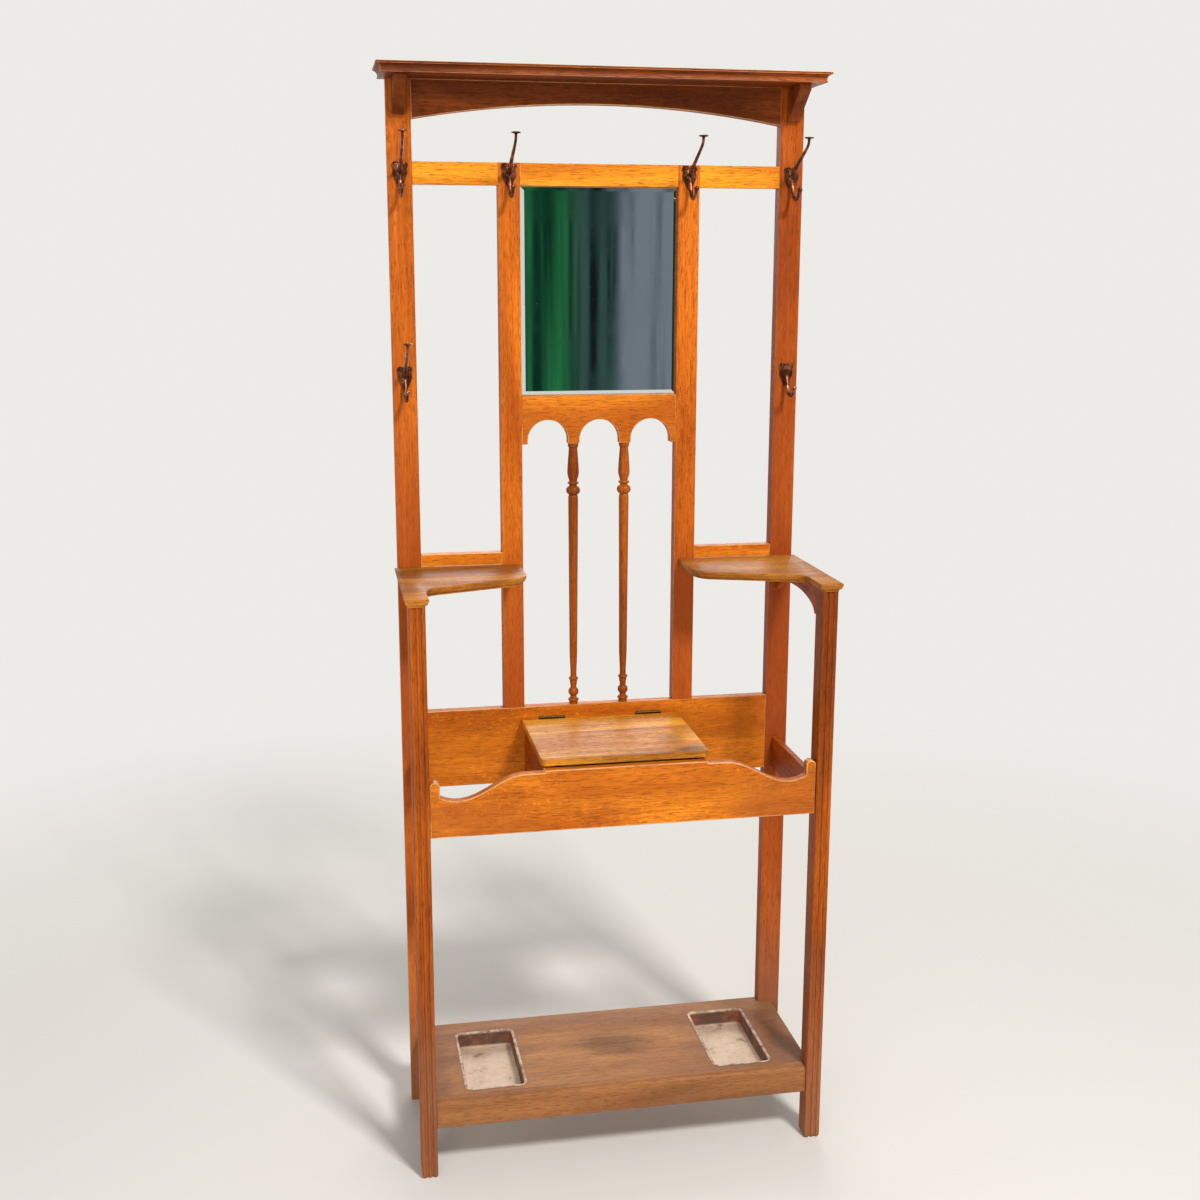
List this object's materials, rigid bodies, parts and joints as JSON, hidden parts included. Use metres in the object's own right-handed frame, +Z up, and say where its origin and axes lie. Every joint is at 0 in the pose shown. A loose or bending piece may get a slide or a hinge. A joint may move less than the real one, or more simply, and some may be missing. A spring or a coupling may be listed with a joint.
{
  "type": "hall tree",
  "caption": "Oak hall stand with cornice, double coat hooks, bevelled mirror over an arcaded rail, turned spindles, glove shelves, hinged glove box and umbrella wells over lift-out drip trays.",
  "frame": {"origin": "on the floor, at the middle of the overall width and depth", "axes": "+Z up, +Y towards the wall behind the stand, +X to the right seen from the front"},
  "size_m": [0.796, 0.308, 1.96],
  "materials": {
    "oak_red": "stained and waxed oak, red-brown",
    "oak_honey": "stained and waxed quarter-sawn oak, honey-orange",
    "mirror": "bevelled silvered glass",
    "bronze": "dark coppered casting, rubbed bright on the high points",
    "hinge_metal": "dull brass",
    "zinc": "dull zinc with rust on the walls"
  },
  "bodies": {
    "frame": {"left_back_stile": "oak_red", "right_back_stile": "oak_red", "left_inner_stile": "oak_red", "right_inner_stile": "oak_red", "top_rail": "oak_honey", "cornice": "oak_honey", "left_corbel": "oak_red", "right_corbel": "oak_red", "hook_rail_left": "oak_honey", "hook_rail_centre": "oak_honey", "hook_rail_right": "oak_honey", "arcade_rail": "oak_honey", "left_spindle": "oak_red", "right_spindle": "oak_red", "left_shelf_rail": "oak_honey", "right_shelf_rail": "oak_honey", "back_board": "oak_honey", "mirror_glass": "mirror", "mirror_backing": "oak_red", "mirror_beads": "oak_red", "left_front_leg": "oak_red", "right_front_leg": "oak_red", "left_shelf": "oak_honey", "right_shelf": "oak_honey", "left_side_apron": "oak_red", "right_side_apron": "oak_red", "front_apron": "oak_honey", "left_side_rail": "oak_honey", "right_side_rail": "oak_honey", "box_left_side": "oak_red", "box_right_side": "oak_red", "box_bottom": "oak_red", "box_cleats": "oak_red", "lid_ledge": "oak_honey", "hinge_fixed_leaves": "hinge_metal", "hinge_pins": "hinge_metal", "hinge_fixed_screws": "hinge_metal", "base_board": "oak_honey", "base_front_rail": "oak_honey", "base_back_rail": "oak_red", "left_base_rail": "oak_red", "right_base_rail": "oak_red", "base_glue_blocks": "oak_red", "hook_outer_left": "bronze", "hook_inner_left": "bronze", "hook_inner_right": "bronze", "hook_outer_right": "bronze", "hook_lower_left": "bronze", "hook_lower_right": "bronze", "hook_screws": "bronze"},
    "lid": {"lid": "oak_honey", "hinge_lid_leaves": "hinge_metal", "hinge_lid_screws": "hinge_metal"},
    "left_tray": {"left_drip_tray": "zinc"},
    "right_tray": {"right_drip_tray": "zinc"}
  },
  "joints": [
    {"name": "lid_hinge", "type": "hinge", "parent": "frame", "child": "lid", "pos_m": [0, 0.1146, 0.7843], "axis": [-1, 0, 0], "range_deg": [0, 93]},
    {"name": "left_tray_lift", "type": "slide", "parent": "frame", "child": "left_tray", "axis": [0, 0, 1], "range_m": [0, 0.25]},
    {"name": "right_tray_lift", "type": "slide", "parent": "frame", "child": "right_tray", "axis": [0, 0, 1], "range_m": [0, 0.25]}
  ]
}
